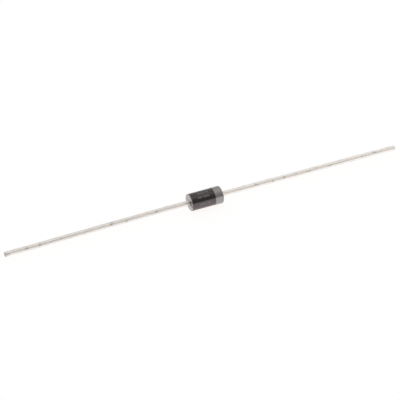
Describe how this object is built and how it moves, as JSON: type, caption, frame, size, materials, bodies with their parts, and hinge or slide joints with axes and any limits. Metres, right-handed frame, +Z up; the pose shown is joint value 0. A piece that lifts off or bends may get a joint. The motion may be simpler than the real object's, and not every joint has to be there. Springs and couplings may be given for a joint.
{
  "type": "axial rectifier diode",
  "caption": "Axial-lead rectifier diode: small black moulded cylinder with a grey cathode band and a long tinned wire lead from each end, the anode lead bent very slightly.",
  "frame": {"origin": "the middle of the body, on the lead axis", "axes": "+X along the body's axis and the straight cathode lead, from the anode end to the banded cathode end, +Z up when the part lies on a flat surface, with the anode lead's slight bend downwards"},
  "size_m": [0.064, 0.0026, 0.0026],
  "materials": {
    "epoxy": "satin black moulded epoxy",
    "band_ink": "silver-grey printed ink",
    "tinned_copper": "dull tin plate over drawn copper wire",
    "silicon": "lapped silicon",
    "solder": "reflowed solder",
    "silicone": "cured silicone"
  },
  "bodies": {
    "root": {"epoxy_body": "epoxy", "cathode_band": "band_ink", "anode_lead": "tinned_copper", "cathode_lead": "tinned_copper", "silicon_die": "silicon", "anode_solder": "solder", "cathode_solder": "solder", "junction_coating": "silicone"}
  },
  "joints": []
}
